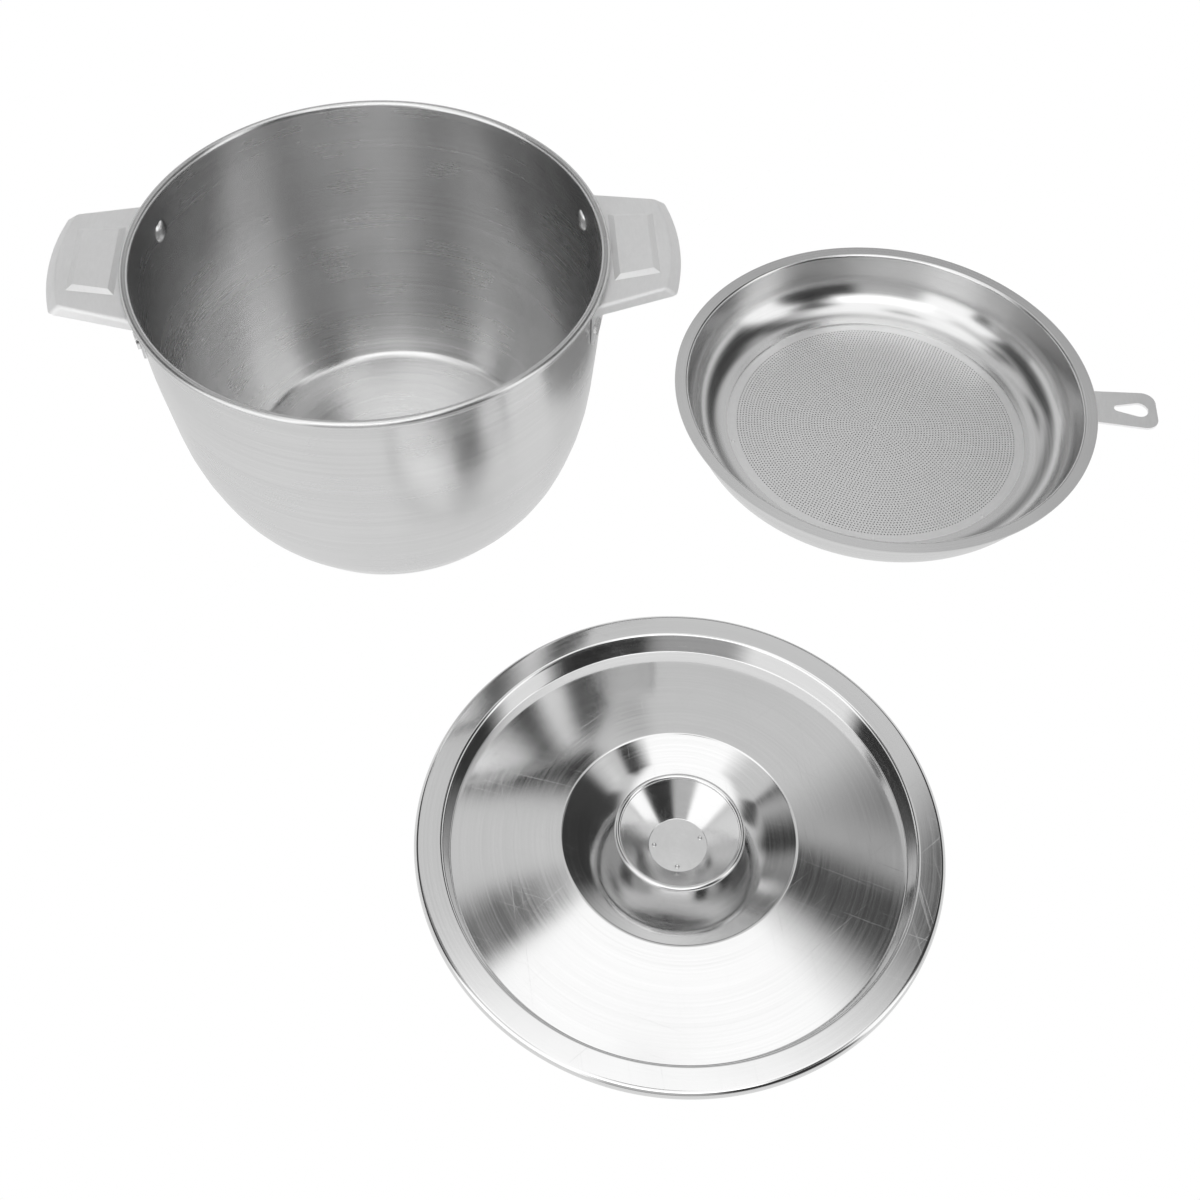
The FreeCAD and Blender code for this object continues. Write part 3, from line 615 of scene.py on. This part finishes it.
spunPieces = [
    ("spunPot", potShape, potAxis, "pot", "pot", "pot_steel", "pot_shell"),
    ("spunPan", panShape, strainerAxis, "pan", "strainer", "strainer_steel", "strainer_pan"),
    ("spunLid", lidShape, lidAxis, "lid", "lid", "lid_steel", "lid_panel"),
    ("spunKnob", knobShape, lidAxis, "knob", "lid", "lid_steel", "lid_knob"),
]
for name, shape, axis, steelName, body, slot, node in spunPieces:
    settle(spinSheet(name, shape, axis, steels[steelName]), body, node)
print("pot, pan, lid and knob spun")


# the filter: rings of fine round holes in a thin disc
filterDisc = {
    "ringPitch": 0.00147,
    "holePitch": 0.0016,
    "holeRadius": 0.0004,
    "holeSides": 8,
    "firstRing": 0.0016,
    "lastRing": 0.0701,
    "edge": 0.0795,
    "thickness": 0.0006,
    "seam": 0.04,  # share of the ring pitch left for the strip between rings
    "fewest": 6,  # holes in the innermost ring
}


def stitchRings(inner, outer):
    # triangles between two closed rings of points with different counts
    faces = []
    i = j = 0
    while i < len(inner) or j < len(outer):
        a = inner[i % len(inner)]
        b = outer[j % len(outer)]
        if j >= len(outer) or (i < len(inner) and (i + 1) / len(inner) <= (j + 1) / len(outer)):
            faces.append((a, b, inner[(i + 1) % len(inner)]))
            i += 1
        else:
            faces.append((a, b, outer[(j + 1) % len(outer)]))
            j += 1
    return faces


def buildFilter(values, axis, steel):
    pitch = values["ringPitch"]
    sides = values["holeSides"]
    quarter = sides // 4
    half = pitch * (0.5 - values["seam"])
    points = []
    faces = []
    rims = []

    def put(radius, angle, fromX=0.0, fromY=0.0):
        points.append((fromX + radius * math.cos(angle), fromY + radius * math.sin(angle)))
        return len(points) - 1

    rings = round((values["lastRing"] - values["firstRing"]) / pitch) + 1
    lastCircle = None
    for ring in range(rings):
        radius = values["firstRing"] + ring * pitch
        count = max(values["fewest"], round(2.0 * math.pi * radius / values["holePitch"]))
        step = 2.0 * math.pi / count
        inner = [put(radius - half, step * n) for n in range(count)]
        outer = [put(radius + half, step * n) for n in range(count)]
        for n in range(count):
            facing = step * (n + 0.5)
            centreX = radius * math.cos(facing)
            centreY = radius * math.sin(facing)
            rim = []
            for s in range(sides):
                turn = facing + 2.0 * math.pi * (s + 0.5) / sides
                rim.append(put(values["holeRadius"], turn, centreX, centreY))
            rims.append(rim)
            after = (n + 1) % count
            corners = [outer[after], inner[after], inner[n], outer[n]]
            for q in range(4):
                arc = [rim[(q * quarter + k) % sides] for k in range(quarter + 1)]
                faces.append((corners[q], corners[(q + 1) % 4], *reversed(arc)))
        if lastCircle is None:
            hub = put(0.0, 0.0)
            faces += [(hub, inner[n], inner[(n + 1) % count]) for n in range(count)]
        else:
            faces += stitchRings(lastCircle, inner)
        lastCircle = outer
    count = len(lastCircle)
    edge = [put(values["edge"], 2.0 * math.pi * n / count) for n in range(count)]
    for n in range(count):
        after = (n + 1) % count
        faces.append((lastCircle[n], edge[n], edge[after], lastCircle[after]))
    total = len(points)
    top = values["thickness"]
    vertices = [(x, y, top) for x, y in points] + [(x, y, 0.0) for x, y in points]
    solid = list(faces)
    solid += [tuple(v + total for v in reversed(face)) for face in faces]
    for rim in rims:
        for s in range(sides):
            a, b = rim[s], rim[(s + 1) % sides]
            solid.append((a, b, b + total, a + total))
    for n in range(count):
        a, b = edge[n], edge[(n + 1) % count]
        solid.append((b, a, a + total, b + total))
    mesh = bpy.data.meshes.new("fineFilter")
    mesh.from_pydata(vertices, [], solid)
    mesh.validate()
    mesh.materials.append(steel)
    fine = bpy.data.objects.new("fineFilter", mesh)
    fine.location = axis
    bpy.context.scene.collection.objects.link(fine)
    print("filter has", len(rims), "holes")
    return fine


fineFilter = buildFilter(filterDisc, strainerAxis, steels["filter"])
settle(fineFilter, "strainer", "filter_disc")


# spot welds: small raised rims round a pressed middle
weldShape = {
    "around": 20,
    "gauge": 0.00012,
    "line": [
        (0.0, 0.0),
        (0.00035, 0.0, 0.0002),
        (0.0006, 0.00012, 0.0001),
        (0.0009, 0.0),
    ],
}
filterWelds = {"radius": 0.0743, "height": 0.0006, "turns": (-12.4, -55.2, -101.0, -175.3)}
knobWelds = {"radius": 0.0099, "height": 0.0012, "turns": (176.8, 15.9, -97.3)}


def placeWelds(name, welds, axis, steel, body):
    radius = welds["radius"]
    for n, degrees in enumerate(welds["turns"]):
        turn = math.radians(degrees)
        away = Vector((radius * math.cos(turn), radius * math.sin(turn), welds["height"]))
        settle(spinSheet(f"{name}{n + 1}", weldShape, Vector(axis) + away, steel), body)


placeWelds("filterWeld", filterWelds, strainerAxis, steels["filter"], "strainer")
placeWelds("knobWeld", knobWelds, lidAxis, steels["knob"], "lid")
print("welds placed")
